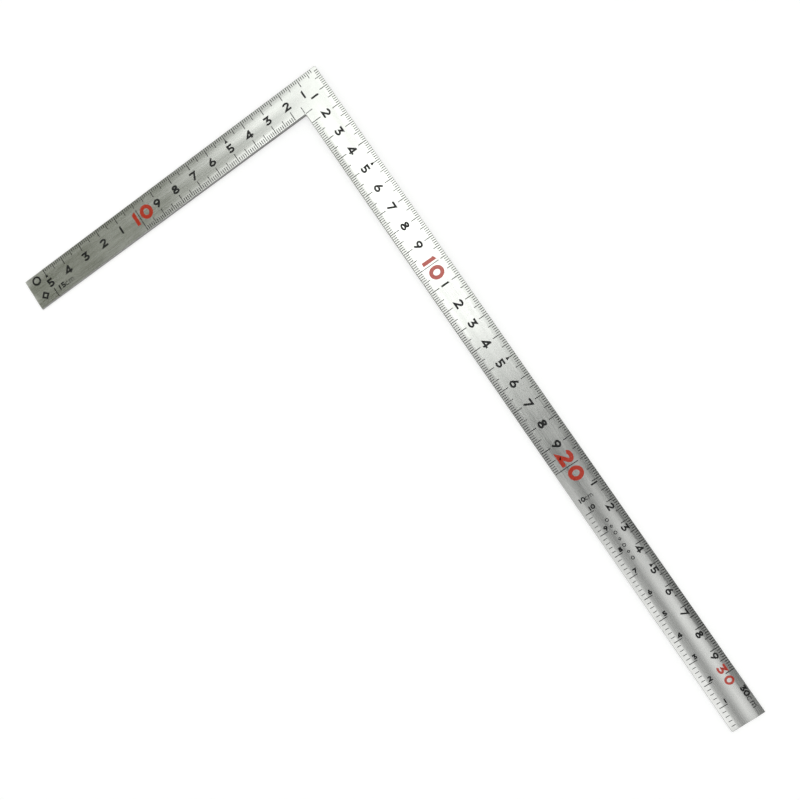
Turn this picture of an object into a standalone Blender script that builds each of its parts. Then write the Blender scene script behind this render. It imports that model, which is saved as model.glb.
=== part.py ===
"""A stainless steel carpenter's square: two hollow-ground arms, welded at the heel.

Lengths are in metres, +Y runs along the long arm and +Z up from the table.
The origin is at the middle of the square's box, on the table.
A place on an arm is given by two distances: along, from the outer heel corner
towards the arm's end, and across, from the arm's outer edge to its inner one.
"""

from functools import lru_cache
import math

import bmesh
import bpy
import numpy as np

MM = 0.001

# Driving sizes of the square.
LONG_ARM_LENGTH = 320 * MM
SHORT_ARM_LENGTH = 160 * MM
ARM_WIDTH = 15 * MM
HEEL_THICKNESS = 2.2 * MM
TIP_THICKNESS = 1.1 * MM

# The arms' section: flat lands along both edges, a shallow hollow between.
LAND_WIDTH = 3.1 * MM
HOLLOW_DEPTH = 0.1 * MM
HOLLOW_STEPS = 12

# The weld runs along the heel's diagonal, with an air gap on both sides.
FIT_GAP = 0.3 * MM
WELD_WIDTH = 0.7 * MM

# The paint fills are thin plates, held one fit gap above the steel. Figures are level plates.
PAINT_THICKNESS = 0.05 * MM

# The full-width lines at every 10 cm.
LINE_WIDTH = 0.28 * MM
LINE_INSET = 0.3 * MM

# The pointers at every odd 5 cm: small triangles that stand on the edge's lines.
POINTER_TIP = 2.9 * MM
POINTER_LENGTH = 1.6 * MM
POINTER_WIDTH = 1.5 * MM

# Figures: height, weight of line against the height, and the row's middle across the arm.
PLAIN_FIGURES = (3.8 * MM, 0.22, 7.4 * MM)
SMALL_FIGURES = (3.05 * MM, 0.22, 3.85 * MM)
LARGE_FIGURES = (6.5 * MM, 0.26, 7.5 * MM)
END_FIGURES = (3.9 * MM, 0.24, 4.4 * MM)
FIRST_FIGURE_SHIFT = 1.1 * MM
SMALL_FIGURE_SHIFT = 2.3 * MM
CENTIMETRE = 10 * MM

# How far the two figures of each ten stand from its line, the first one back, the second one on.
TEN_GAPS = (1.85 * MM, 3.85 * MM)
TWENTY_GAPS = (3.6 * MM, 3.8 * MM)
THIRTY_GAPS = (2.1 * MM, 2.8 * MM)
ARC_STEPS = 14

BRUSHED_STEEL = ((0.62, 0.62, 0.60), 0.32, 1.0)
WELD_STEEL = ((0.55, 0.55, 0.54), 0.4, 1.0)
BLACK_PAINT = ((0.02, 0.022, 0.022), 0.5, 0.0)
RED_PAINT = ((0.62, 0.07, 0.03), 0.45, 0.0)


def clear_objects():
    """Remove every object from the file."""
    for item in list(bpy.data.objects):
        bpy.data.objects.remove(item, do_unlink=True)


def finish(name, colour, roughness, metallic):
    """Return a Principled material."""
    material = bpy.data.materials.new(name)
    material.use_nodes = True
    shader = material.node_tree.nodes["Principled BSDF"]
    shader.inputs["Base Color"].default_value = (*colour, 1.0)
    shader.inputs["Roughness"].default_value = roughness
    shader.inputs["Metallic"].default_value = metallic
    return material


def add_object(name, solid, look):
    """Make a named object from a closed solid, given as its vertices and faces."""
    vertices, faces = solid
    shell = bmesh.new()
    corners = [shell.verts.new(vertex) for vertex in vertices]
    for face in faces:
        shell.faces.new([corners[index] for index in face])
    bmesh.ops.recalc_face_normals(shell, faces=shell.faces)
    mesh = bpy.data.meshes.new(name)
    shell.to_mesh(mesh)
    shell.free()
    mesh.materials.append(finish(name, *look))
    item = bpy.data.objects.new(name, mesh)
    bpy.context.scene.collection.objects.link(item)
    return item


# ---------------------------------------------------------------- steel


class Arm:
    """One arm of the square: its length, and its place in the world."""

    def __init__(self, length, runs_along_y):
        self.length = length
        self.runs_along_y = runs_along_y

    def thickness(self, along):
        """The arm thins evenly from the heel to its end."""
        return HEEL_THICKNESS + (TIP_THICKNESS - HEEL_THICKNESS) * along / self.length

    def top(self, along, across):
        """Height of the upper face."""
        return self.thickness(along) - hollow(across)

    def place(self, along, across):
        """World x and y of a place on the arm."""
        x, y = (across, along) if self.runs_along_y else (along, across)
        return x - SHORT_ARM_LENGTH / 2, y - LONG_ARM_LENGTH / 2


LONG_ARM = Arm(LONG_ARM_LENGTH, True)
SHORT_ARM = Arm(SHORT_ARM_LENGTH, False)


def hollow(across):
    """Depth of the hollow, a smooth dip (one wave of a cosine) between the two lands."""
    share = (across - LAND_WIDTH) / (ARM_WIDTH - 2 * LAND_WIDTH)
    share = min(max(share, 0.0), 1.0)
    return HOLLOW_DEPTH * (1 - math.cos(2 * math.pi * share)) / 2


def section_places(start=0.0):
    """Places across the arm where its section has a corner, from start to the inner edge."""
    bend = np.linspace(LAND_WIDTH, ARM_WIDTH - LAND_WIDTH, HOLLOW_STEPS + 1)
    return [start, *bend, ARM_WIDTH]


def loft(rings):
    """A closed solid between two rings of points."""
    first, last = rings
    count = len(first)
    faces = [tuple(range(count)), tuple(range(2 * count - 1, count - 1, -1))]
    for index in range(count):
        after = (index + 1) % count
        faces.append((index, after, count + after, count + index))
    return [*first, *last], faces


def section_ring(arm, places, along_of):
    """The arm's section as a ring of world points: upper face out, lower face back."""
    upper = []
    lower = []
    for across in places:
        along = along_of(across)
        x, y = arm.place(along, across)
        upper.append((x, y, arm.top(along, across)))
        lower.append((x, y, hollow(across)))
    return upper + lower[::-1]


def build_arm(name, arm):
    """One arm, from its mitred heel to its square end."""
    mitre = (WELD_WIDTH / 2 + FIT_GAP) * math.sqrt(2)
    places = section_places()
    heel = section_ring(arm, places, lambda across: across + mitre)
    tip = section_ring(arm, places, lambda across: arm.length)
    add_object(name, loft((heel, tip)), BRUSHED_STEEL)


def build_weld():
    """The bead that joins the two mitred heels along the diagonal."""
    side = WELD_WIDTH / math.sqrt(8)
    places = section_places(start=side)
    rings = []
    for arm in (LONG_ARM, SHORT_ARM):
        ring = []
        for across in places:
            x, y = arm.place(across + side, across - side)
            ring.append((x, y, arm.top(across, across)))
        ring += [(x, y, hollow(across)) for (x, y, _), across in zip(ring[::-1], places[::-1])]
        rings.append(ring)
    add_object("corner_weld", loft(rings), WELD_STEEL)


# ---------------------------------------------------------------- paint fills


def plate(name, arm, outline):
    """A thin plate over the steel; outline is a loop of (along, across) corners."""
    lower = []
    upper = []
    for along, across in outline:
        x, y = arm.place(along, across)
        z = arm.top(along, across) + FIT_GAP
        lower.append((x, y, z))
        upper.append((x, y, z + PAINT_THICKNESS))
    add_object(name, loft((lower, upper)), BLACK_PAINT)


def build_line(name, arm, along):
    """A line right across the arm, square to its edges."""
    left = along - LINE_WIDTH / 2
    right = along + LINE_WIDTH / 2
    stop = ARM_WIDTH - LINE_INSET
    plate(name, arm, [(left, LINE_INSET), (right, LINE_INSET), (right, stop), (left, stop)])


def build_pointer(name, arm, along):
    """A small solid triangle that points at the outer edge."""
    base = POINTER_TIP + POINTER_LENGTH
    half = POINTER_WIDTH / 2
    plate(name, arm, [(along, POINTER_TIP), (along + half, base), (along - half, base)])


# ---------------------------------------------------------------- figures


def arc(centre, radii, start, stop):
    """Points of an elliptical arc, with its angles in degrees."""
    count = max(3, round(ARC_STEPS * abs(stop - start) / 360) + 1)
    angles = np.radians(np.linspace(start, stop, count))
    return [(centre[0] + radii[0] * math.cos(a), centre[1] + radii[1] * math.sin(a)) for a in angles]


def strokes(character, weight):
    """The strokes of a figure one unit high, each a path and whether it closes."""
    half = weight / 2
    top = 1 - half
    bowl = 0.33 - half
    if character == "0":
        return [(arc((0, 0.5), (0.46 - half, 0.5 - half), 0, 360)[:-1], True)]
    if character == "1":
        return [([(0, 0), (0, 1)], False)]
    if character == "2":
        hook = arc((0, 0.69), (0.41 - half, 0.31 - half), 165, -28)
        return [([*hook, (-0.29, half), (0.43, half)], False)]
    if character == "3":
        hook = arc((-0.03, 0.32), (0.43 - half, 0.32 - half), 88, -150)
        return [([(-0.38, top), (0.22, top), (-0.06, 0.64 - half), *hook[1:]], False)]
    if character == "4":
        return [
            ([(0.48, 0.28), (-0.37, 0.28), (0.17, 0.93)], False),
            ([(0.17, 0), (0.17, 1)], False),
        ]
    if character == "5":
        hook = arc((-0.02, 0.33), (0.42 - half, bowl), 118, -145)
        return [([(0.34, top), (-0.22, top), *hook], False)]
    if character in "69":
        ring = arc((0, 0.33), (0.42 - half, bowl), 0, 360)[:-1]
        tail = [(-0.29, 0.44), (0.13, 1)]
        if character == "9":
            ring = [(-x, 1 - y) for x, y in ring]
            tail = [(-x, 1 - y) for x, y in tail]
        return [(ring, True), (tail, False)]
    if character == "7":
        return [([(-0.41, top), (0.29, top), (-0.16, 0)], False)]
    lower = arc((0, 0.29), (0.42 - half, 0.29 - half), 0, 360)[:-1]
    upper = arc((0, 0.75), (0.35 - half, 0.25 - half), 0, 360)[:-1]
    return [(lower, True), (upper, True)]


def ribbon(path, weight, closed):
    """Both sides of a path thickened to weight, with mitred bends."""
    points = np.array(path, dtype=float)
    if closed:
        before = points - np.roll(points, 1, axis=0)
        after = np.roll(points, -1, axis=0) - points
    else:
        runs = np.diff(points, axis=0)
        before = np.vstack([runs[:1], runs])
        after = np.vstack([runs, runs[-1:]])
    before /= np.linalg.norm(before, axis=1)[:, None]
    after /= np.linalg.norm(after, axis=1)[:, None]
    bisector = before + after
    bisector /= np.linalg.norm(bisector, axis=1)[:, None]
    reach = weight / 2 / np.maximum((bisector * after).sum(axis=1), 0.35)
    side = np.stack([-bisector[:, 1], bisector[:, 0]], axis=1) * reach[:, None]
    return points + side, points - side


def ribbon_prism(path, weight, closed):
    """A ribbon as a solid one unit thick."""
    left, right = ribbon(path, weight, closed)
    count = len(left)
    outline = np.vstack([left, right])
    levels = [np.column_stack([outline, np.full(2 * count, z)]) for z in (0.0, 1.0)]
    vertices = [tuple(vertex) for vertex in np.vstack(levels)]
    lift = 2 * count
    faces = []
    for index in range(count if closed else count - 1):
        after = (index + 1) % count
        quad = (index, after, count + after, count + index)
        faces.append(quad)
        faces.append(tuple(corner + lift for corner in quad[::-1]))
        faces.append((after, index, index + lift, after + lift))
        faces.append((count + index, count + after, count + after + lift, count + index + lift))
    if not closed:
        for index, other in ((0, count), (2 * count - 1, count - 1)):
            faces.append((index, other, other + lift, index + lift))
    return vertices, faces


@lru_cache(maxsize=None)
def glyph(character, weight):
    """A character's united strokes, one unit high and one unit thick."""
    parts = []
    for path, closed in strokes(character, weight):
        parts.append(add_object("stroke", ribbon_prism(path, weight, closed), BLACK_PAINT))
    body = parts[0]
    for other in parts[1:]:
        union = body.modifiers.new("join", "BOOLEAN")
        union.operation = "UNION"
        union.object = other
    mesh = body.evaluated_get(bpy.context.evaluated_depsgraph_get()).to_mesh()
    vertices = [tuple(vertex.co) for vertex in mesh.vertices]
    faces = [tuple(polygon.vertices) for polygon in mesh.polygons]
    for part in parts:
        bpy.data.objects.remove(part, do_unlink=True)
    return vertices, faces


def build_figure(name, character, arm, along, style, look=BLACK_PAINT):
    """One level figure centred on a place on the arm, its head towards the outer edge."""
    height, weight, row = style
    forward = 1 if arm.runs_along_y else -1
    vertices, faces = glyph(character, weight)
    spots = [(along + forward * right * height, row - (up - 0.5) * height) for right, up, _ in vertices]
    foot = max(arm.top(*spot) for spot in spots) + FIT_GAP
    placed = []
    for spot, (_, _, level) in zip(spots, vertices):
        x, y = arm.place(*spot)
        placed.append((x, y, foot + PAINT_THICKNESS * level))
    add_object(name, (placed, faces), look)


def build_black_figures():
    """The last digit of every centimetre, full size up to 19 cm and smaller beyond 20."""
    for name, arm, last in (("long", LONG_ARM, 29), ("short", SHORT_ARM, 15)):
        for centimetre in range(1, last + 1):
            if centimetre % 10 == 0:
                continue
            along = centimetre * CENTIMETRE
            style = PLAIN_FIGURES
            if centimetre == 1:
                along += FIRST_FIGURE_SHIFT
            if centimetre > 20:
                style = SMALL_FIGURES
                along += FIRST_FIGURE_SHIFT if centimetre == 21 else SMALL_FIGURE_SHIFT
            build_figure(f"{name}_figure_{centimetre:02d}", str(centimetre % 10), arm, along, style)


def build_red_figures():
    """The tens, one figure on each side of its line."""
    tens = (
        ("long", LONG_ARM, 10, TEN_GAPS, LARGE_FIGURES),
        ("long", LONG_ARM, 20, TWENTY_GAPS, LARGE_FIGURES),
        ("long", LONG_ARM, 30, THIRTY_GAPS, END_FIGURES),
        ("short", SHORT_ARM, 10, TEN_GAPS, LARGE_FIGURES),
    )
    for name, arm, centimetre, (back, on), style in tens:
        forward = 1 if arm.runs_along_y else -1
        first, second = str(centimetre)
        line = centimetre * CENTIMETRE
        build_figure(f"{name}_red_{centimetre}_a", first, arm, line - forward * back, style, RED_PAINT)
        build_figure(f"{name}_red_{centimetre}_b", second, arm, line + forward * on, style, RED_PAINT)


clear_objects()
build_arm("long_arm", LONG_ARM)
build_arm("short_arm", SHORT_ARM)
build_weld()
build_line("long_line_10", LONG_ARM, 10 * CENTIMETRE)
build_line("long_line_20", LONG_ARM, 20 * CENTIMETRE)
build_line("short_line_10", SHORT_ARM, 10 * CENTIMETRE)
for five in (5, 15, 25):
    build_pointer(f"long_pointer_{five:02d}", LONG_ARM, five * CENTIMETRE)
for five in (5, 15):
    build_pointer(f"short_pointer_{five:02d}", SHORT_ARM, five * CENTIMETRE)
build_black_figures()
build_red_figures()
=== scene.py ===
"""Looks of a stainless steel carpenter's square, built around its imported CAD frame.

A place on an arm is given by two distances in metres: along, from the outer heel corner towards
the arm's end, and across, from the arm's outer edge to its inner one.
"""

from dataclasses import dataclass
from enum import Enum
from functools import lru_cache
import logging
import math

import bmesh
import bpy
from mathutils import Matrix, Vector
import numpy as np


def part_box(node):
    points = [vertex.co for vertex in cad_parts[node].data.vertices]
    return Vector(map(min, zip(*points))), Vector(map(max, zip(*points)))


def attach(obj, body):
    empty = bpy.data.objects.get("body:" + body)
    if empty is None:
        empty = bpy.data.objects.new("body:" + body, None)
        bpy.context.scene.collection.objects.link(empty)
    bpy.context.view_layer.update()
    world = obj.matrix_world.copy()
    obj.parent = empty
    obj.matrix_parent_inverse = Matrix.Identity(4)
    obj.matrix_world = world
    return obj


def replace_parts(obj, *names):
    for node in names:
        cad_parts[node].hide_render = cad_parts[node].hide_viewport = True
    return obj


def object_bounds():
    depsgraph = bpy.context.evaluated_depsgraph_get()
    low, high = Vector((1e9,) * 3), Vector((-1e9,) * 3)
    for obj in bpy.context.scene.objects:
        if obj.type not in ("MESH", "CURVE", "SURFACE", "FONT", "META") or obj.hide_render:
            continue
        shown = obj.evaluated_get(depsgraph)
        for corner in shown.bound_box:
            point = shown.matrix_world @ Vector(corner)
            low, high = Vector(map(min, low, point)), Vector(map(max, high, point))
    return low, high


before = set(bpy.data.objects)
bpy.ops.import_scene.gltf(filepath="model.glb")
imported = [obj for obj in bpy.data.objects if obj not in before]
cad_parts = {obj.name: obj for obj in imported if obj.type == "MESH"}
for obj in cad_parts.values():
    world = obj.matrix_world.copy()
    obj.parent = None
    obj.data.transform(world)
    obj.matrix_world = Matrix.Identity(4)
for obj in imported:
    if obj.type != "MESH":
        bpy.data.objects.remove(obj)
CAD_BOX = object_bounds()

LOG = logging.getLogger("square")
MM = 0.001
CM = 0.01
BODY = "root"
SHARP_ANGLE = math.radians(30)

Array = np.ndarray
Mesh = tuple[Array, Array]
Pair = tuple[float, float]
Triple = tuple[float, float, float]
Colour = tuple[float, float, float, float]
Socket = bpy.types.NodeSocket


class Side(Enum):
    """The two broad faces of the square."""

    FACE = 1
    BACK = -1


class Grain(Enum):
    """Which way the steel was brushed, as the axis that the streaks follow."""

    ALONG_X = "x"
    ALONG_Y = "y"


class Reading(Enum):
    """How figures stand: heads towards the outer edge, or turned to read from the arm's end."""

    UPRIGHT = "upright"
    TURNED = "turned"


# ---------------- steel geometry


def eased(distance: Array, bend: float) -> Array:
    """A straight rise that starts from nought with a short parabola.

    Args:
        distance: how far beyond the start; nothing rises before it.
        bend: the parabola's length.

    Returns:
        The rise, in the distance's own unit.
    """
    beyond = np.maximum(distance, 0.0)
    early = np.minimum(beyond, bend)
    return early**2 / (2 * bend) + beyond - early


@dataclass(frozen=True)
class Section:
    """Cross-section of an arm: rounded edges, nearly flat lands and a hollow between them."""

    width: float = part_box("long_arm")[1][0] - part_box("long_arm")[0][0]
    land: float = 3.1 * MM
    hollow_depth: float = 0.1 * MM
    land_fall: float = 0.17 * MM
    land_bend: float = 0.4 * MM
    edge_radius: float = 0.15 * MM
    arc_steps: int = 5
    face_steps: int = 64

    def places(self) -> Array:
        """Places across the arm where the section is sampled, close together on the edges.

        Returns:
            Distances from the outer edge, rising from nought to the full width.
        """
        turn = np.linspace(0.0, math.pi / 2, self.arc_steps + 1)
        arc = self.edge_radius * (1 - np.cos(turn))
        flat = np.linspace(self.edge_radius, self.width - self.edge_radius, self.face_steps + 1)
        return np.concatenate([arc[:-1], flat, self.width - arc[:-1][::-1]])

    def hollow(self, across: Array) -> Array:
        """Depth of the hollow, one wave of a cosine between the lands."""
        share = np.clip((across - self.land) / (self.width - 2 * self.land), 0.0, 1.0)
        return self.hollow_depth * (1 - np.cos(2 * np.pi * share)) / 2

    def fall(self, across: Array) -> Array:
        """How far each land falls towards its edge."""
        beyond = self.land - np.minimum(across, self.width - across)
        return eased(beyond, self.land_bend) * self.land_fall / self.land

    def rounding(self, across: Array) -> Array:
        """How far the quarter circles of the edges lie under the lands."""
        gap = np.clip(self.edge_radius - np.minimum(across, self.width - across), 0.0, self.edge_radius)
        return self.edge_radius - np.sqrt(self.edge_radius**2 - gap**2)


@dataclass(frozen=True)
class Arm:
    """One arm of the square and its place in the frame."""

    name: str
    length: float
    runs_along_y: bool
    section: Section
    heel_thickness: float = 2.2 * MM
    tip_thickness: float = 1.1 * MM
    heel_blend: float = 26 * MM

    @property
    def label(self) -> str:
        """The first word of its nodes' names: long or short."""
        return self.name.split("_")[0]

    @property
    def forward(self) -> int:
        """1 where reading runs away from the heel, -1 where it runs towards it."""
        return 1 if self.runs_along_y else -1

    def thickness(self, along: Array) -> Array:
        """The arm's thickness: level at the heel, thinning evenly past its corner to the end."""
        corner = self.section.width
        share = eased(along - corner, self.heel_blend) / eased(self.length - corner, self.heel_blend)
        return self.heel_thickness + (self.tip_thickness - self.heel_thickness) * share

    def surface(self, along: Array, across: Array, side: Side) -> Array:
        """Height of the steel's face or back; the section's relief fades out towards the mitre.

        Args:
            along: distances from the heel.
            across: distances from the outer edge.
            side: the face or the back, whose lands stay flat.

        Returns:
            Heights above the table.
        """
        share = np.clip((along - across) / self.heel_blend, 0.0, 1.0)
        fade = share**2 * (3 - 2 * share)
        hollow = self.section.hollow(across) * fade
        rounding = self.section.rounding(across)
        if side is Side.BACK:
            return hollow + rounding
        return self.thickness(along) - hollow - self.section.fall(across) * fade - rounding

    def world(self, along: Array, across: Array, height: Array) -> Array:
        """Places on the arm as points in the frame.

        Args:
            along: distances from the heel.
            across: distances from the outer edge.
            height: heights above the table.

        Returns:
            An array whose last axis is x, y, z.
        """
        x, y = (across, along) if self.runs_along_y else (along, across)
        x, y, z = np.broadcast_arrays(x + CAD_BOX[0][0], y + CAD_BOX[0][1], height)
        return np.stack([x, y, z], axis=-1)


def ring_faces(rings: int, points: int) -> Array:
    """Quads between neighbouring rings of a closed tube, as rows of four indices."""
    ring, point = np.meshgrid(np.arange(rings - 1), np.arange(points), indexing="ij")
    here = ring * points + point
    after = ring * points + (point + 1) % points
    return np.stack([here, after, after + points, here + points], axis=-1).reshape(-1, 4)


def tube(rings: list[Array]) -> Mesh:
    """Join rings whose first half runs out and whose second half runs back, and close both ends.

    Args:
        rings: rows of points, the same number in each.

    Returns:
        One closed solid.
    """
    points = len(rings[0])
    step = np.arange(points // 2 - 1)
    cap = np.stack([step, step + 1, points - 2 - step, points - 1 - step], axis=-1)
    faces = [ring_faces(len(rings), points), cap[:, ::-1], cap + (len(rings) - 1) * points]
    return np.concatenate(rings), np.concatenate(faces)


def bar_faces(rings: int) -> Array:
    """Quads of a closed bar whose rings have four points, its two ends last."""
    caps = np.array([[0, 1, 2, 3], 4 * rings - np.array([1, 2, 3, 4])])
    return np.concatenate([ring_faces(rings, 4), caps])


def point_out(data: bpy.types.Mesh) -> None:
    """Turn the faces of one or more closed solids so that all of them point out."""
    shell = bmesh.new()
    shell.from_mesh(data)
    bmesh.ops.recalc_face_normals(shell, faces=shell.faces)
    shell.to_mesh(data)
    shell.free()


def make_piece(name: str, mesh: Mesh, materials: list[bpy.types.Material]) -> bpy.types.Object:
    """Turn arrays into a finished object at the origin, with its faces pointing out.

    Args:
        name: the piece's name.
        mesh: points and faces of one or more closed solids.
        materials: the piece's finishes, the first one everywhere at the start.

    Returns:
        The new object, riding on the square's body.
    """
    points, faces = mesh
    data = bpy.data.meshes.new(name)
    data.from_pydata(points.reshape(-1, 3), [], faces)
    point_out(data)
    data.shade_smooth()
    data.set_sharp_from_angle(angle=SHARP_ANGLE)
    for material in materials:
        data.materials.append(material)
    piece = bpy.data.objects.new(name, data)
    bpy.context.scene.collection.objects.link(piece)
    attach(piece, BODY)
    LOG.info("%s: %d faces", name, len(data.polygons))
    return piece


# ---------------- finishes


class Wiring:
    """A node tree with short calls to add nodes and join them."""

    def __init__(self, tree: bpy.types.NodeTree) -> None:
        """Take a tree to add to."""
        self.tree = tree

    def add(self, kind: str, values: dict | None = None, **settings: object) -> bpy.types.Node:
        """Add a node.

        Args:
            kind: the node's type without its ShaderNode prefix.
            values: input names and their values or the sockets that feed them.
            settings: properties of the node itself.

        Returns:
            The new node.
        """
        node = self.tree.nodes.new(f"ShaderNode{kind}")
        for key, value in settings.items():
            setattr(node, key, value)
        for key, value in (values or {}).items():
            self.feed(node, key, value)
        return node

    def feed(self, node: bpy.types.Node, key: str | int, value: object) -> None:
        """Set an input, by its name or number, to a value, or link it to a socket."""
        if isinstance(value, Socket):
            self.tree.links.new(value, node.inputs[key])
        else:
            node.inputs[key].default_value = value

    def math(self, operation: str, first: object, second: object) -> Socket:
        """Join two values by a math operation."""
        return self.add("Math", {0: first, 1: second}, operation=operation).outputs[0]


class NodeSheet(Wiring):
    """A material's nodes, which end in its Principled shader."""

    def __init__(self, name: str) -> None:
        """Start a material of this name."""
        self.material = bpy.data.materials.new(name)
        self.material.use_nodes = True
        super().__init__(self.material.node_tree)

    def finish(self, values: dict) -> bpy.types.Material:
        """Feed the shader's inputs, by name, and hand the material over."""
        for key, value in values.items():
            self.feed(self.tree.nodes["Principled BSDF"], key, value)
        return self.material

    def relief(self, height: Socket, distance: float) -> Socket:
        """A bump of this height pattern, raised by a distance."""
        return self.add("Bump", {"Height": height, "Distance": distance, "Strength": 1.0}).outputs[0]

    def noise(self, scale: Triple, detail: float, turn: float = 0.0) -> Socket:
        """Noise on object coordinates.

        Args:
            scale: how many grains fit in a metre along x, y and z.
            detail: the number of finer layers.
            turn: rotation of the pattern about z, in degrees.

        Returns:
            The noise's socket, from 0 to 1.
        """
        place = self.add("TexCoord").outputs["Object"]
        turned = (0.0, 0.0, math.radians(turn))
        place = self.add("Mapping", {"Vector": place, "Scale": scale, "Rotation": turned}).outputs[0]
        return self.add("TexNoise", {"Vector": place, "Scale": 1.0, "Detail": detail}).outputs["Fac"]

    def spread(
        self, source: Socket, low: float, high: float, start: float = 0.3, stop: float = 0.7
    ) -> Socket:
        """Map a value running from start to stop onto low to high."""
        ends = {"From Min": start, "From Max": stop, "To Min": low, "To Max": high}
        return self.add("MapRange", {"Value": source, **ends}).outputs[0]

    def mix(self, amount: Socket, first: Colour, second: Colour) -> Socket:
        """Blend two colours; the amount is how much of the second there is."""
        return self.add("Mix", {"Factor": amount, 6: first, 7: second}, data_type="RGBA").outputs[2]


@dataclass(frozen=True)
class BrushedSteel:
    """Satin stainless steel: fine grain along the arm, soft clouds, hairline scratches."""

    grain: Grain
    pale: Colour = (0.68, 0.685, 0.665, 1.0)
    deep: Colour = (0.615, 0.62, 0.605, 1.0)
    grain_share: float = 0.55
    roughness: float = 0.24
    grain_pitch: float = 0.11 * MM
    grain_length: float = 9 * MM
    streak_pitch: float = 1.3 * MM
    streak_length: float = 70 * MM
    cloud: float = 14 * MM
    scratch_pitch: float = 0.08 * MM
    scratch_length: float = 4 * MM
    scratch_turn: float = 17.0
    relief: float = 0.0022 * MM

    def scale(self, pitch: float, length: float) -> Triple:
        """Streaks in a metre along x, y and z, from the distance between them and their length."""
        along, across = 1 / length, 1 / pitch
        return (along, across, along) if self.grain is Grain.ALONG_X else (across, along, along)

    def material(self) -> bpy.types.Material:
        """Build a material whose colour, roughness and relief follow the brushing."""
        sheet = NodeSheet(f"brushed_steel_{self.grain.value}")
        fine = sheet.noise(self.scale(self.grain_pitch, self.grain_length), 2.0)
        streak = sheet.noise(self.scale(self.streak_pitch, self.streak_length), 3.0)
        cloud = sheet.noise(self.scale(self.cloud, self.cloud), 3.0)
        scratch = sheet.noise(self.scale(self.scratch_pitch, self.scratch_length), 1.0, self.scratch_turn)
        coarse = sheet.spread(streak, 0.0, 1 - self.grain_share)
        blend = sheet.math("ADD", sheet.spread(fine, 0.0, self.grain_share), coarse)
        rough = sheet.math("ADD", sheet.spread(fine, -0.03, 0.05), sheet.spread(cloud, -0.03, 0.03))
        rough = sheet.math("ADD", rough, sheet.spread(streak, -0.02, 0.02))
        rough = sheet.math("ADD", rough, sheet.spread(scratch, 0.0, 0.05, 0.70, 0.76))
        height = sheet.math("ADD", fine, sheet.math("MULTIPLY", streak, 0.4))
        values = {
            "Base Color": sheet.mix(blend, self.deep, self.pale),
            "Roughness": sheet.math("ADD", rough, self.roughness),
            "Normal": sheet.relief(sheet.math("ADD", height, cloud), self.relief),
            "Metallic": 1.0,
        }
        return sheet.finish(values)


@dataclass(frozen=True)
class GroundEdge:
    """The arms' ground side faces: duller and darker, with marks square to the edge; the darkness is
    painted shade on the upright faces.
    """

    # dark base colours: a ground finish darkened further as painted shade on the side faces
    pale: Colour = (0.30, 0.30, 0.29, 1.0)
    deep: Colour = (0.18, 0.18, 0.175, 1.0)
    pitch: float = 0.15 * MM

    def material(self) -> bpy.types.Material:
        """Build a material with fine upright marks, on dark colours that paint the side faces' shade."""
        sheet = NodeSheet("ground_edge")
        marks = sheet.noise((1 / self.pitch, 1 / self.pitch, 1 / (4 * self.pitch)), 2.0)
        values = {
            "Base Color": sheet.mix(sheet.spread(marks, 0.0, 1.0), self.deep, self.pale),
            "Roughness": sheet.spread(marks, 0.38, 0.5),
            "Metallic": 1.0,
        }
        return sheet.finish(values)


@dataclass(frozen=True)
class PaintFill:
    """Paint rubbed into the etched lines and figures, thin in places."""

    name: str
    full: Colour
    thin: Colour
    roughness: float
    gloss: float
    patch: float = 0.5 * MM
    relief: float = 0.004 * MM

    def material(self) -> bpy.types.Material:
        """Build a material whose colour, roughness and relief vary from patch to patch."""
        sheet = NodeSheet(self.name)
        patch = sheet.noise((1 / self.patch,) * 3, 4.0)
        values = {
            "Base Color": sheet.mix(sheet.spread(patch, 0.0, 1.0, 0.5, 0.75), self.full, self.thin),
            "Roughness": sheet.spread(patch, self.roughness - 0.06, self.roughness + 0.08),
            "Specular IOR Level": self.gloss,
            "Normal": sheet.relief(patch, self.relief),
        }
        return sheet.finish(values)


class Paint(Enum):
    """The two paints, by the record's material slot."""

    BLACK = "black_fill"
    RED = "red_fill"


@dataclass(frozen=True)
class Palette:
    """Every material of the object, built once."""

    steel: dict[Grain, bpy.types.Material]
    # the ground side finish, darkened as painted shade
    edge: bpy.types.Material
    paint: dict[Paint, bpy.types.Material]

    @classmethod
    def build(cls) -> "Palette":
        """Make the steel for both grains, the ground edge with its painted shade, and the two paints."""
        black = ((0.005, 0.006, 0.006, 1.0), (0.013, 0.014, 0.014, 1.0))
        black = PaintFill("black_paint", *black, roughness=0.36, gloss=0.34)
        red = ((0.50, 0.020, 0.001, 1.0), (0.54, 0.036, 0.003, 1.0))
        red = PaintFill("red_paint", *red, roughness=0.22, gloss=0.9)
        return cls(
            steel={grain: BrushedSteel(grain).material() for grain in Grain},
            edge=GroundEdge().material(),
            paint={Paint.BLACK: black.material(), Paint.RED: red.material()},
        )


# ---------------- steel pieces


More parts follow.
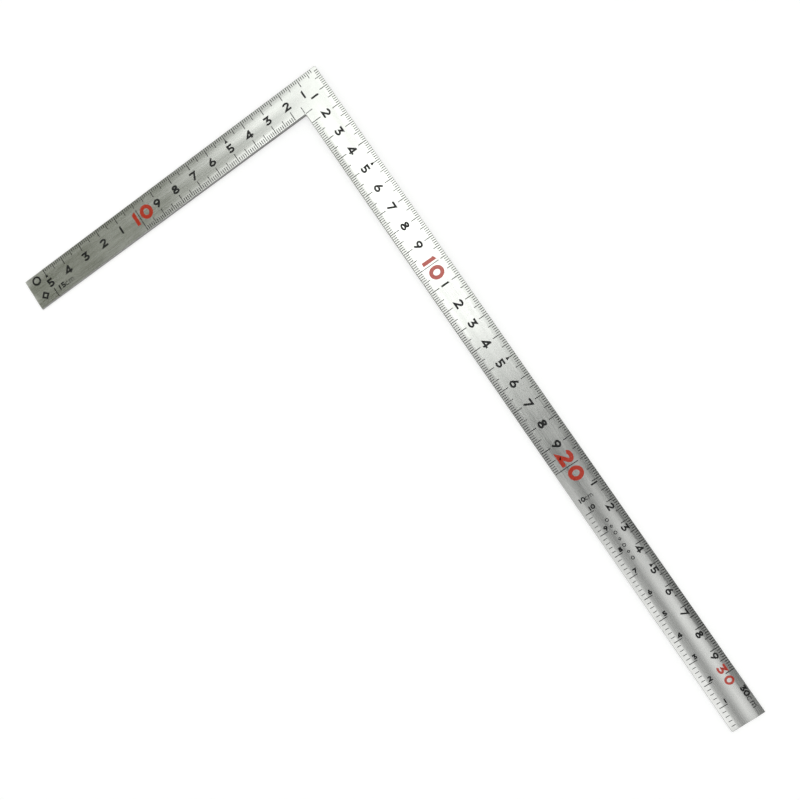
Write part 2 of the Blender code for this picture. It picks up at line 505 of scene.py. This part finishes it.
@dataclass(frozen=True)
class SteelWork:
    """The two mitred arms and the weld between them, as finely sampled solids."""

    long_arm: Arm
    short_arm: Arm
    palette: Palette
    weld_width: float = 0.7 * MM
    lengthwise_steps: int = 90
    end_radius: float = 0.25 * MM
    end_steps: int = 4
    end_flatness: float = 0.6
    upright_limit: float = 0.8

    def ring(self, arm: Arm, along: Array, inset: float = 0.0) -> Array:
        """One section of an arm as a ring: the face from outer to inner edge, then the back.

        Args:
            arm: the arm.
            along: the ring's place along the arm, for each place across.
            inset: how far the ring is drawn in on all sides, where the end is rounded.

        Returns:
            Points, one row each.
        """
        across = arm.section.places()
        drawn = np.clip(across, inset, arm.section.width - inset)
        face = arm.world(along, drawn, arm.surface(along, across, Side.FACE) - inset)
        back = arm.world(along, drawn, arm.surface(along, across, Side.BACK) + inset)
        return np.concatenate([face, back[::-1]])

    def arm_mesh(self, arm: Arm) -> Mesh:
        """An arm's closed steel: the section carried from the mitred heel to the rounded end."""
        across = arm.section.places()
        heel = across + self.weld_width / math.sqrt(2)
        stop = arm.length - self.end_radius
        shares = np.linspace(0, 1, self.lengthwise_steps)
        rings = [self.ring(arm, heel + (stop - heel) * share) for share in shares]
        for turn in np.linspace(0, math.pi / 2, self.end_steps + 1)[1:]:
            reach = np.full_like(across, stop + self.end_radius * math.sin(turn))
            inset = self.end_radius * (1 - math.cos(turn)) * self.end_flatness
            rings.append(self.ring(arm, reach, inset))
        return tube(rings)

    def weld_mesh(self) -> Mesh:
        """The weld: the section carried across the heel's diagonal from one arm to the other."""
        heel = self.long_arm.section.places() + self.weld_width / math.sqrt(2)
        return tube([self.ring(arm, heel) for arm in (self.long_arm, self.short_arm)])

    def dress_sides(self, piece: bpy.types.Object) -> None:
        """Give upright side faces and rounded arrises the piece's second finish, the ground one, darkened
        as painted shade.
        """
        count = len(piece.data.polygons)
        normals = np.empty(count * 3)
        piece.data.polygons.foreach_get("normal", normals)
        upright = np.abs(normals.reshape(-1, 3)[:, 2]) < self.upright_limit
        piece.data.polygons.foreach_set("material_index", upright.astype(np.int32))

    def build(self) -> None:
        """Build and dress the three steel pieces."""
        pieces = (
            ("long_arm", "long_arm_steel", self.arm_mesh(self.long_arm), Grain.ALONG_Y, "steel"),
            ("short_arm", "short_arm_steel", self.arm_mesh(self.short_arm), Grain.ALONG_X, "steel"),
            ("corner_weld", "heel_weld", self.weld_mesh(), Grain.ALONG_Y, "weld"),
        )
        for node, name, mesh, grain, slot in pieces:
            # the second material paints shade on the upright side faces
            piece = make_piece(name, mesh, [self.palette.steel[grain], self.palette.edge])
            self.dress_sides(piece)
            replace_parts(piece, node)


# ---------------- painted lines


@dataclass(frozen=True)
class PaintFilm:
    """How the paint sits: a hair proud of the steel, with its foot sunk into it."""

    proud: float = 0.02 * MM
    buried: float = 0.04 * MM
    stretch: int = 6

    def heights(self, arm: Arm, along: Array, across: Array, side: Side) -> tuple[Array, Array]:
        """Heights of the film's foot and of its top over places on an arm."""
        steel = arm.surface(along, across, side)
        return steel - side.value * self.buried, steel + side.value * self.proud

    def lines(self, arm: Arm, rows: Array, side: Side = Side.FACE) -> Mesh:
        """Straight lines square to the arm's edge, each a thin bar bent over the hollow.

        Args:
            arm: the arm.
            rows: for each line, its place along, its two ends across, and its width at each end.
            side: the face or the back.

        Returns:
            One closed bar for each row.
        """
        along, start, stop, first_width, last_width = (column[:, None] for column in rows.T)
        share = np.linspace(0.0, 1.0, self.stretch + 1)[None, :]
        across = start + (stop - start) * share
        half = (first_width + (last_width - first_width) * share) / 2
        foot, top = self.heights(arm, along, across, side)
        corners = [(along - half, foot), (along - half, top), (along + half, top), (along + half, foot)]
        points = np.stack([arm.world(place, across, height) for place, height in corners], axis=2)
        shift = 4 * (self.stretch + 1) * np.arange(len(rows))[:, None, None]
        return points.reshape(-1, 3), (bar_faces(self.stretch + 1) + shift).reshape(-1, 4)


def rank(along: Array) -> Array:
    """2 for a whole centimetre, 1 for a half, 0 for any other millimetre."""
    millimetres = np.rint(along / MM).astype(int)
    return np.where(millimetres % 10 == 0, 2, np.where(millimetres % 5 == 0, 1, 0))


def count_up(start: int, stop: int, step: int = 1) -> Array:
    """Places from start to stop millimetres, both included, in metres."""
    return np.arange(start, stop + 1, step) * MM


@dataclass(frozen=True)
class Scale:
    """A row of graduation lines: how long and how wide its three ranks of line are."""

    reaches: Triple
    inset: float
    from_inner: bool = False
    widths: Triple = (0.3 * MM, 0.3 * MM, 0.34 * MM)

    def rows(self, arm: Arm, along: Array, ranks: Array) -> Array:
        """The lines as rows for the paint film.

        Args:
            arm: the arm.
            along: the lines' places.
            ranks: each line's rank, which picks its length and width.

        Returns:
            One row for each line.
        """
        reach = np.array(self.reaches)[ranks]
        width = np.array(self.widths)[ranks]
        start = np.full_like(along, self.inset)
        if self.from_inner:
            start, reach = arm.section.width - reach, arm.section.width - start
        return np.stack([along, start, reach, width, width], axis=1)


@dataclass(frozen=True)
class Graduations:
    """All the lines and pointers on one side of the square."""

    long_arm: Arm
    short_arm: Arm
    palette: Palette
    film: PaintFilm = PaintFilm()
    outer: Scale = Scale((1.8 * MM, 3.2 * MM, 4.2 * MM), 0.12 * MM)
    inner: Scale = Scale((2.2 * MM, 3.6 * MM, 4.6 * MM), 0.3 * MM, True)
    depth: Scale = Scale(
        (2.8 * MM, 2.8 * MM, 4.8 * MM), 1.1 * MM, True, widths=(0.24 * MM, 0.24 * MM, 0.3 * MM)
    )
    pointer_tip: float = 2.9 * MM
    pointer_gap: float = 0.1 * MM
    pointer_length: float = 1.6 * MM
    pointer_point: float = 0.12 * MM
    pointer_width: float = 1.5 * MM
    cross_line_width: float = 0.32 * MM
    cross_line_insets: Pair = (0.2 * MM, 0.3 * MM)

    def lay(self, name: str, arm: Arm, rows: Array, side: Side = Side.FACE) -> bpy.types.Object:
        """Make one painted piece from rows of lines.

        Args:
            name: the piece's name.
            arm: the arm.
            rows: the lines, as the paint film takes them.
            side: the face or the back.

        Returns:
            The new piece.
        """
        black = self.palette.paint[Paint.BLACK]
        return make_piece(name, self.film.lines(arm, rows, side), [black])

    def outer_rows(self, arm: Arm, last: int) -> Array:
        """Outer-edge lines up to a last millimetre, cut short at each pointer."""
        along = count_up(2 if arm.runs_along_y else 3, last)
        along = along[~np.isin(np.rint(along / MM), (100, 200))]
        rows = self.outer.rows(arm, along, rank(along))
        pointed = np.rint(along / MM) % 100 == 50
        rows[pointed, 2] = self.pointer_tip
        return rows

    def inner_places(self, arm: Arm, last: int, extra: tuple[int, ...]) -> Array:
        """Places of the inner-edge lines: the inner corner's own, then from 2 cm on.

        Args:
            arm: the arm.
            last: the last line's place in millimetres.
            extra: places of further single lines in millimetres.

        Returns:
            The places, without those of the full-width lines.
        """
        corner = arm.section.width
        along = np.concatenate([[corner], count_up(20, last), np.array(extra) * MM])
        return along[~np.isin(np.rint(along / MM), (100, 200))]

    def pointer_row(self, along: float) -> Array:
        """A pointer as one line that widens from its point to its full width."""
        tip = self.pointer_tip - self.pointer_gap
        return np.array([[along, tip, tip + self.pointer_length, self.pointer_point, self.pointer_width]])

    def cross_row(self, arm: Arm, along: float) -> Array:
        """A line across the arm's whole width."""
        outer, inner = self.cross_line_insets
        return np.array([[along, outer, arm.section.width - inner] + [self.cross_line_width] * 2])

    def build_face(self) -> None:
        """Lay every line of the graduated face."""
        for arm, last in ((self.long_arm, 300), (self.short_arm, 150)):
            self.lay(f"{arm.name}_outer_scale", arm, self.outer_rows(arm, last))
        for arm, last, extra in ((self.long_arm, 200, ()), (self.short_arm, 99, (150,))):
            along = self.inner_places(arm, last, extra)
            self.lay(f"{arm.name}_inner_scale", arm, self.inner.rows(arm, along, rank(along)))
        back = count_up(2, 100, 2)
        rows = self.depth.rows(self.long_arm, self.long_arm.length - back, rank(back))
        self.lay("long_arm_depth_scale", self.long_arm, rows)
        for arm, tens in ((self.long_arm, (10, 20)), (self.short_arm, (10,))):
            for centimetre in tens:
                node = f"{arm.label}_line_{centimetre}"
                line = self.lay(f"{node}_paint", arm, self.cross_row(arm, centimetre * CM))
                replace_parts(line, node)
        for arm, fives in ((self.long_arm, (5, 15, 25)), (self.short_arm, (5, 15))):
            for centimetre in fives:
                node = f"{arm.label}_pointer_{centimetre:02d}"
                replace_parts(self.lay(f"{node}_paint", arm, self.pointer_row(centimetre * CM)), node)

    def build_back(self) -> None:
        """Lay plain outer scales on the back."""
        for arm, last in ((self.long_arm, 300), (self.short_arm, 150)):
            along = count_up(2, last)
            rows = self.outer.rows(arm, along, rank(along))
            self.lay(f"{arm.name}_back_scale", arm, rows, Side.BACK)


# ---------------- figures


@dataclass(frozen=True)
class Stroke:
    """One stroke of a character: a path in a box one unit high, and how it ends."""

    path: Array
    closed: bool = False
    slant: float = 0.0


def arc(centre: Pair, radii: Pair, start: float, stop: float) -> Array:
    """Points of an elliptical arc.

    Args:
        centre: the ellipse's middle.
        radii: its half width and half height.
        start: where the arc starts, in degrees.
        stop: where it ends, in degrees.

    Returns:
        Rows of x and y, about 8 degrees apart.
    """
    angle = np.radians(np.linspace(start, stop, max(4, round(abs(stop - start) / 8) + 1)))
    return np.stack([centre[0] + radii[0] * np.cos(angle), centre[1] + radii[1] * np.sin(angle)], axis=1)


def run(*parts: Array | Pair, longest: float = 0.12) -> Array:
    """Join points and arcs into one path.

    Args:
        parts: points and rows of points, in order.
        longest: straight stretches longer than this get points between their ends.

    Returns:
        Rows of x and y.
    """
    corners = np.concatenate([np.atleast_2d(part) for part in parts]).astype(float)
    lengths = np.linalg.norm(np.diff(corners, axis=0), axis=1)
    travelled = np.concatenate([[0.0], np.cumsum(lengths)])
    extra = [
        np.linspace(begin, end, max(2, math.ceil((end - begin) / longest) + 1))[:-1]
        for begin, end in zip(travelled[:-1], travelled[1:])
    ]
    stops = np.concatenate([*extra, travelled[-1:]])
    return np.stack([np.interp(stops, travelled, corners[:, axis]) for axis in (0, 1)], axis=1)


class Alphabet:
    """The plain round characters that the square is marked with, drawn from strokes."""

    @staticmethod
    def strokes(character: str, weight: float) -> list[Stroke]:
        """The strokes of a character.

        Args:
            character: a digit, c, m, or the plain marks o (a ring) and v (a diamond).
            weight: the width of the line against the character's height.

        Returns:
            Strokes whose paths are the middle of the painted line.
        """
        half = weight / 2
        top = 1 - half

        def ring(middle: float, wide: float, tall: float) -> Stroke:
            """A closed ellipse: its middle's height, its half width and its half height."""
            return Stroke(arc((0, middle), (wide - half, tall - half), 0, 360)[:-1], closed=True)

        if character == "0":
            return [ring(0.5, 0.46, 0.5)]
        if character == "1":
            return [Stroke(run((0, 0), (0, 1)), slant=0.45 * weight)]
        if character == "2":
            hook = arc((0, 0.69), (0.41 - half, 0.31 - half), 168, -30)
            return [Stroke(run(hook, (-0.28, half), (0.44, half)))]
        if character == "3":
            bowl = arc((-0.04, 0.32), (0.44 - half, 0.32 - half), 86, -152)
            return [Stroke(run((-0.38, top), (0.22, top), (-0.07, 0.64 - half), bowl[1:]))]
        if character == "4":
            bent = run((0.48, 0.28), (-0.37, 0.28), (0.17, 0.93))
            return [Stroke(bent), Stroke(run((0.17, 0), (0.17, 1)))]
        if character == "5":
            bowl = arc((-0.02, 0.33), (0.42 - half, 0.33 - half), 120, -148)
            return [Stroke(run((0.34, top), (-0.22, top), bowl))]
        if character in "69":
            six = [ring(0.33, 0.42, 0.33), Stroke(run((-0.29, 0.44), (0.13, 1)))]
            if character == "6":
                return six
            return [Stroke(np.array([0, 1]) - stroke.path, stroke.closed) for stroke in six]
        if character == "7":
            return [Stroke(run((-0.41, top), (0.29, top), (-0.16, 0)))]
        if character == "8":
            return [ring(0.29, 0.42, 0.29), ring(0.75, 0.35, 0.25)]
        if character == "c":
            return [Stroke(arc((0, 0.5), (0.5 - half, 0.5 - half), 48, 312))]
        if character == "o":
            return [ring(0.5, 0.5, 0.5)]
        if character == "v":
            point = 1.5 * half
            corners = [(0, point), (0.5 - point, 0.5), (0, 1 - point), (point - 0.5, 0.5)]
            return [Stroke(run(*corners, corners[0])[:-1], closed=True)]
        arches = [
            Stroke(run(arc((middle, 0.68), (0.31, 0.32 - half), 180, 0), (middle + 0.31, 0)))
            for middle in (-0.31, 0.31)
        ]
        return [Stroke(run((-0.62, 0), (-0.62, 1))), *arches]

    @staticmethod
    def prism(stroke: Stroke, weight: float) -> Mesh:
        """Thicken a stroke's path to both sides, with mitred bends, and raise it one unit.

        Args:
            stroke: the stroke.
            weight: how wide the painted line is.

        Returns:
            A closed solid with its foot at height 0 and its top at height 1.
        """
        points = stroke.path
        if stroke.closed:
            before = points - np.roll(points, 1, axis=0)
            after = np.roll(points, -1, axis=0) - points
        else:
            steps = np.diff(points, axis=0)
            before = np.vstack([steps[:1], steps])
            after = np.vstack([steps, steps[-1:]])
        before = before / np.linalg.norm(before, axis=1, keepdims=True)
        after = after / np.linalg.norm(after, axis=1, keepdims=True)
        middle = before + after
        middle /= np.linalg.norm(middle, axis=1, keepdims=True)
        reach = weight / 2 / np.maximum((middle * after).sum(axis=1, keepdims=True), 0.35)
        side = np.stack([-middle[:, 1], middle[:, 0]], axis=1) * reach
        left, right = points + side, points - side
        left[-1, 1] -= stroke.slant
        count = len(points)
        corners = [(left, 0.0), (left, 1.0), (right, 1.0), (right, 0.0)]
        sides = [np.column_stack([edge, np.full(count, level)]) for edge, level in corners]
        rings = np.stack(sides, axis=1)
        faces = ring_faces(count + 1, 4) % (4 * count) if stroke.closed else bar_faces(count)
        return rings.reshape(-1, 3), faces

    @staticmethod
    @lru_cache(maxsize=None)
    def outline(character: str, weight: float) -> tuple[Array, list[tuple[int, ...]]]:
        """Unite the strokes of a character.

        Args:
            character: the character.
            weight: the width of the line against the character's height.

        Returns:
            Points and faces of one closed solid, one unit high and thick.
        """
        parts = []
        for stroke in Alphabet.strokes(character, weight):
            points, faces = Alphabet.prism(stroke, weight)
            data = bpy.data.meshes.new("stroke")
            data.from_pydata(points, [], faces)
            point_out(data)
            part = bpy.data.objects.new("stroke", data)
            bpy.context.scene.collection.objects.link(part)
            parts.append(part)
        for other in parts[1:]:
            union = parts[0].modifiers.new("join", "BOOLEAN")
            union.operation = "UNION"
            union.object = other
        shape = parts[0].evaluated_get(bpy.context.evaluated_depsgraph_get()).to_mesh()
        points = np.empty(3 * len(shape.vertices))
        shape.vertices.foreach_get("co", points)
        faces = [tuple(polygon.vertices) for polygon in shape.polygons]
        for part in parts:
            bpy.data.objects.remove(part, do_unlink=True)
        return points.reshape(-1, 3), faces


@dataclass(frozen=True)
class Hand:
    """How high characters are, and how wide their line is against their height."""

    height: float
    weight: float


@dataclass(frozen=True)
class Lettering:
    """Characters of one hand on one arm; c and m are lower and finer than the rest."""

    arm: Arm
    hand: Hand
    palette: Palette
    paint: Paint = Paint.BLACK
    reading: Reading = Reading.UPRIGHT
    side: Side = Side.FACE
    film: PaintFilm = PaintFilm()
    unit_height: float = 0.7
    unit_weight: float = 0.6
    m_width: float = 1.35

    def spot(self, along: float, across: float, right: Array, up: Array) -> tuple[Array, Array]:
        """Find the places that lie right and up of another, as the characters are read.

        Args:
            along: the other place along the arm.
            across: the other place across it.
            right: distances to its right.
            up: distances above it.

        Returns:
            The places along the arm and across it.
        """
        if self.reading is Reading.TURNED:
            return along - up, across - right
        return along + self.arm.forward * self.side.value * right, across - up

    def figure(
        self, name: str, character: str, along: float, across: float, scale: float = 1.0
    ) -> bpy.types.Object:
        """Paint one character.

        Args:
            name: the piece's name.
            character: what to paint.
            along: the character's middle along the arm.
            across: its middle across the arm.
            scale: its height against the lettering's.

        Returns:
            The new piece.
        """
        weight = self.hand.weight * (self.unit_weight if character in "cm" else 1.0)
        points, faces = Alphabet.outline(character, weight)
        size = self.hand.height * scale
        places = self.spot(along, across, points[:, 0] * size, (points[:, 1] - 0.5) * size)
        foot, top = self.film.heights(self.arm, *places, self.side)
        solid = self.arm.world(*places, foot + (top - foot) * points[:, 2])
        return make_piece(name, (solid, faces), [self.palette.paint[self.paint]])

    def word(self, name: str, text: str, along: float, across: float, pitch: float) -> None:
        """Paint a row of characters that stand on one line.

        Args:
            name: the first part of the pieces' names.
            text: the characters.
            along: the row's middle along the arm.
            across: its middle across the arm.
            pitch: the room that a character takes.
        """
        widths = [self.m_width if letter == "m" else 1.0 for letter in text]
        cursor = -sum(widths) / 2
        for order, (letter, width) in enumerate(zip(text, widths)):
            scale = self.unit_height if letter in "cm" else 1.0
            middle = (cursor + width / 2) * pitch
            drop = (scale - 1) * self.hand.height / 2
            place = self.spot(along, across, middle, drop)
            self.figure(f"{name}_{order}_{letter}", letter, *place, scale)
            cursor += width


@dataclass(frozen=True)
class Figures:
    """Every figure and mark of the square: its hands, its rows across the arm, and its shifts along it."""

    long_arm: Arm
    short_arm: Arm
    palette: Palette
    plain: Hand = Hand(3.8 * MM, 0.22)
    small: Hand = Hand(3.05 * MM, 0.22)
    ten: Hand = Hand(6.5 * MM, 0.26)
    thirty: Hand = Hand(3.9 * MM, 0.24)
    turned: Hand = Hand(2.0 * MM, 0.27)
    long_length: Hand = Hand(2.5 * MM, 0.26)
    short_length: Hand = Hand(2.5 * MM, 0.24)
    large_mark: Hand = Hand(4.2 * MM, 0.19)
    small_mark: Hand = Hand(1.5 * MM, 0.2)
    back: Hand = Hand(3.2 * MM, 0.17)
    plain_row: float = 7.4 * MM
    small_row: float = 3.85 * MM
    ten_row: float = 7.5 * MM
    thirty_row: float = 4.4 * MM
    depth_row: float = 10.35 * MM
    one_shift: float = 1.1 * MM
    small_shift: float = 2.3 * MM
    depth_shift: float = 1.5 * MM
    ten_gaps: Pair = (1.85 * MM, 3.85 * MM)
    twenty_gaps: Pair = (3.6 * MM, 3.8 * MM)
    thirty_gaps: Pair = (2.1 * MM, 2.8 * MM)

    def build_black(self) -> None:
        """The last digit of every centimetre, full size up to 19 cm and smaller beyond 20."""
        for arm, last in ((self.long_arm, 29), (self.short_arm, 15)):
            for centimetre in range(1, last + 1):
                digit = centimetre % 10
                if digit == 0:
                    continue
                hand, row, shift = self.plain, self.plain_row, 0.0
                if centimetre > 20:
                    hand, row, shift = self.small, self.small_row, self.small_shift
                if centimetre in (1, 21):
                    shift = self.one_shift
                node = f"{arm.label}_figure_{centimetre:02d}"
                style = Lettering(arm, hand, self.palette)
                figure = style.figure(f"{node}_paint", str(digit), centimetre * CM + shift, row)
                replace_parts(figure, node)

    def build_red(self) -> None:
        """The tens, one figure on each side of its line, and the 30."""
        tens = (
            ("long_red_10", self.long_arm, self.ten, self.ten_gaps, self.ten_row),
            ("long_red_20", self.long_arm, self.ten, self.twenty_gaps, self.ten_row),
            ("short_red_10", self.short_arm, self.ten, self.ten_gaps, self.ten_row),
            ("long_red_30", self.long_arm, self.thirty, self.thirty_gaps, self.thirty_row),
        )
        for node, arm, hand, (before, after), row in tens:
            style = Lettering(arm, hand, self.palette, Paint.RED)
            text = node[-2:]
            for letter, mark, gap in zip(text, "ab", (-before, after)):
                along = int(text) * CM + arm.forward * gap
                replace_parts(style.figure(f"{node}_{mark}_paint", letter, along, row), f"{node}_{mark}")

    def build_depth(self) -> None:
        """The depth scale's figures, turned to be read from the arm's end."""
        style = Lettering(self.long_arm, self.turned, self.palette, reading=Reading.TURNED)
        for centimetre in range(1, 10):
            along = self.long_arm.length - centimetre * CM - self.depth_shift
            style.figure(f"depth_figure_{centimetre}", str(centimetre), along, self.depth_row)
        ten = self.long_arm.length - 10 * CM
        style.word("depth_figure_10", "10", ten - self.depth_shift, self.depth_row, 1.45 * MM)
        style.word("depth_length", "10cm", ten - 5.9 * MM, 10.2 * MM, 1.5 * MM)

    def build_lengths(self) -> None:
        """The lengths written out at the end of each scale."""
        style = Lettering(self.long_arm, self.long_length, self.palette)
        style.word("long_arm_length", "30cm", 311.8 * MM, 1.75 * MM, 2.2 * MM)
        style = Lettering(self.short_arm, self.short_length, self.palette)
        style.word("short_arm_length", "15cm", 144.2 * MM, 11.7 * MM, 2.0 * MM)

    def build_marks(self) -> None:
        """Plain rings and diamonds: two at the short arm's end, and a row of small ones on the long arm."""
        large = Lettering(self.short_arm, self.large_mark, self.palette)
        large.figure("short_arm_ring_mark", "o", 155.1 * MM, 2.9 * MM)
        large.figure("short_arm_diamond_mark", "v", 155.1 * MM, 10.8 * MM)
        small = Lettering(self.long_arm, self.small_mark, self.palette)
        for order, along in enumerate(np.linspace(226.0 * MM, 243.8 * MM, 7)):
            small.figure(f"long_arm_small_mark_{order + 1}", "ov"[order % 2], float(along), 8.1 * MM)

    def build_back(self) -> None:
        """Plain figures for the back's outer scales."""
        for arm, last in ((self.long_arm, 30), (self.short_arm, 15)):
            style = Lettering(arm, self.back, self.palette, side=Side.BACK)
            for centimetre in range(1, last + 1):
                name = f"{arm.name}_back_figure_{centimetre:02d}"
                if centimetre < 10:
                    style.figure(name, str(centimetre), centimetre * CM, self.plain_row)
                else:
                    style.word(name, str(centimetre), centimetre * CM, self.plain_row, 2.4 * MM)


# ---------------- stage


@dataclass(frozen=True)
class Glow:
    """A soft-edged patch of light overhead.

    A direction is given by its slopes x/z and y/z. The patch rises smoothly from nought to full
    strength between the first and the second slope of each pair, and the strengths multiply.
    """

    strength: float
    tint: Triple
    x_edges: tuple[Pair, ...]
    y_edges: tuple[Pair, ...]


@dataclass(frozen=True)
class Surround:
    """The studio overhead: a dim even dome, soft glows and a pale band round the horizon."""

    dome: Triple = (0.103, 0.106, 0.102)
    glows: tuple[Glow, ...] = (
        Glow(1.85, (0.975, 1.0, 0.97), ((0.2, -0.08), (-1.3, -0.6)), ((0.07, -0.27), (-1.2, -0.35))),
        Glow(1.7, (1.0, 1.0, 1.0), ((0.17, 0.08), (-0.15, 0.0)), ((0.02, -0.20), (-0.44, -0.34))),
        Glow(1.4, (1.0, 1.0, 1.0), ((-0.17, 0.10), (0.75, 0.4)), ((0.06, 0.24), (0.95, 0.6))),
        Glow(0.085, (0.95, 1.08, 0.5), ((0.0, 0.25), (1.6, 0.9)), ((-0.1, -0.35), (-1.6, -0.9))),
    )
    horizon: float = 0.5
    horizon_top: float = 0.5
    lowest: float = 0.02

    def build(self) -> None:
        """Make the surround the scene's world."""
        world = bpy.data.worlds.new("surround")
        world.use_nodes = True
        wiring = Wiring(world.node_tree)
        source = wiring.add("TexCoord").outputs["Generated"]
        direction = wiring.add("SeparateXYZ", {0: source}).outputs
        height = wiring.math("MAXIMUM", direction["Z"], self.lowest)
        slopes = {axis: wiring.math("DIVIDE", direction[axis], height) for axis in "XY"}
        band = self.ramp(wiring, direction["Z"], (self.horizon_top, 0.0), self.horizon)
        lights = [(band, (1.0, 1.0, 1.0))]
        lights += [(self.patch(wiring, glow, slopes), glow.tint) for glow in self.glows]
        total = self.dome
        for strength, tint in lights:
            light = wiring.add("VectorMath", {0: tint, "Scale": strength}, operation="SCALE").outputs[0]
            total = wiring.add("VectorMath", {0: light, 1: total}, operation="ADD").outputs[0]
        wiring.feed(world.node_tree.nodes["Background"], "Color", total)
        bpy.context.scene.world = world

    @staticmethod
    def ramp(wiring: Wiring, source: Socket, edge: Pair, strength: float) -> Socket:
        """Rise smoothly from nought to a strength, as the source runs from one end of the edge
        to the other, in either order of size.
        """
        start, stop = edge
        low, high = (strength, 0.0) if start > stop else (0.0, strength)
        ends = {"From Min": min(edge), "From Max": max(edge), "To Min": low, "To Max": high}
        return wiring.add("MapRange", {"Value": source, **ends}, interpolation_type="SMOOTHSTEP").outputs[0]

    def patch(self, wiring: Wiring, glow: Glow, slopes: dict[str, Socket]) -> Socket:
        """A glow's strength in each direction: its smooth edges multiplied."""
        edges = [("X", edge) for edge in glow.x_edges] + [("Y", edge) for edge in glow.y_edges]
        strength = glow.strength
        for axis, edge in edges:
            strength = wiring.math("MULTIPLY", strength, self.ramp(wiring, slopes[axis], edge, 1.0))
        return strength


@dataclass(frozen=True)
class Studio:
    """Floor, lights and camera."""

    eye: Triple = (-58.5 * MM, 11.0 * MM, 321.3 * MM)
    target: Triple = (-30.0 * MM, -20.9 * MM, 1.8 * MM)
    roll: float = 146.0
    lens: float = 34.9
    floor_half: float = 2.0
    floor_gap: float = 0.06 * MM
    floor_dark: float = 0.50
    floor_light: float = 0.53
    floor_glow: float = 0.62
    rim_lamps: int = 8
    rim_strength: float = 0.25
    rim_tilt: float = 62.0
    rim_softness: float = 44.0

    def build_floor(self) -> None:
        """A pale, slightly uneven sweep under the square."""
        sheet = NodeSheet("floor")
        cloud = sheet.noise((3.0, 3.0, 3.0), 2.0)
        dark, light = ((tone, tone, tone, 1.0) for tone in (self.floor_dark, self.floor_light))
        values = {
            "Base Color": sheet.mix(sheet.spread(cloud, 0.0, 1.0), dark, light),
            "Emission Color": (1.0, 1.0, 1.0, 1.0),
            "Emission Strength": self.floor_glow,
            "Roughness": 0.9,
        }
        half = self.floor_half
        corners = [(-half, -half, 0), (half, -half, 0), (half, half, 0), (-half, half, 0)]
        data = bpy.data.meshes.new("floor")
        data.from_pydata(corners, [], [(0, 1, 2, 3)])
        data.materials.append(sheet.finish(values))
        floor = bpy.data.objects.new("floor", data)
        floor.location.z = -self.floor_gap
        bpy.context.scene.collection.objects.link(floor)

    def build_rim(self) -> None:
        """A ring of wide, soft suns low down on all sides keeps the floor bright and free of shadow."""
        for place in range(self.rim_lamps):
            data = bpy.data.lights.new(f"rim_{place + 1}", "SUN")
            data.energy = self.rim_strength
            data.angle = math.radians(self.rim_softness)
            lamp = bpy.data.objects.new(data.name, data)
            turn = 2 * math.pi * place / self.rim_lamps
            lamp.rotation_euler = (math.radians(self.rim_tilt), 0.0, turn)
            bpy.context.scene.collection.objects.link(lamp)

    def build_camera(self) -> None:
        """The camera looks down past the square's inside, rolled so that both arms run downwards."""
        data = bpy.data.cameras.new("camera")
        data.lens = self.lens
        camera = bpy.data.objects.new("camera", data)
        eye = Vector(self.eye)
        back = (eye - Vector(self.target)).normalized()
        level = Vector((0.0, 1.0, 0.0)).cross(back).normalized()
        axes = Matrix((level, back.cross(level), back)).transposed().to_4x4()
        roll = Matrix.Rotation(math.radians(self.roll), 4, "Z")
        camera.matrix_world = Matrix.Translation(eye) @ axes @ roll
        bpy.context.scene.collection.objects.link(camera)
        bpy.context.scene.camera = camera

    def build(self) -> None:
        """Set the whole stage."""
        self.build_floor()
        self.build_rim()
        self.build_camera()
        Surround().build()
        bpy.context.scene.view_settings.view_transform = "Standard"


def main() -> None:
    """Build the square and its stage."""
    logging.basicConfig(level=logging.INFO, format="%(name)s %(message)s")
    section = Section()
    low, high = CAD_BOX
    long_arm = Arm("long_arm", high[1] - low[1], True, section)
    short_arm = Arm("short_arm", high[0] - low[0], False, section)
    palette = Palette.build()
    Studio().build()
    SteelWork(long_arm, short_arm, palette).build()
    graduations = Graduations(long_arm, short_arm, palette)
    graduations.build_face()
    graduations.build_back()
    figures = Figures(long_arm, short_arm, palette)
    figures.build_black()
    figures.build_red()
    figures.build_depth()
    figures.build_lengths()
    figures.build_marks()
    figures.build_back()


if __name__ == "__main__":
    main()
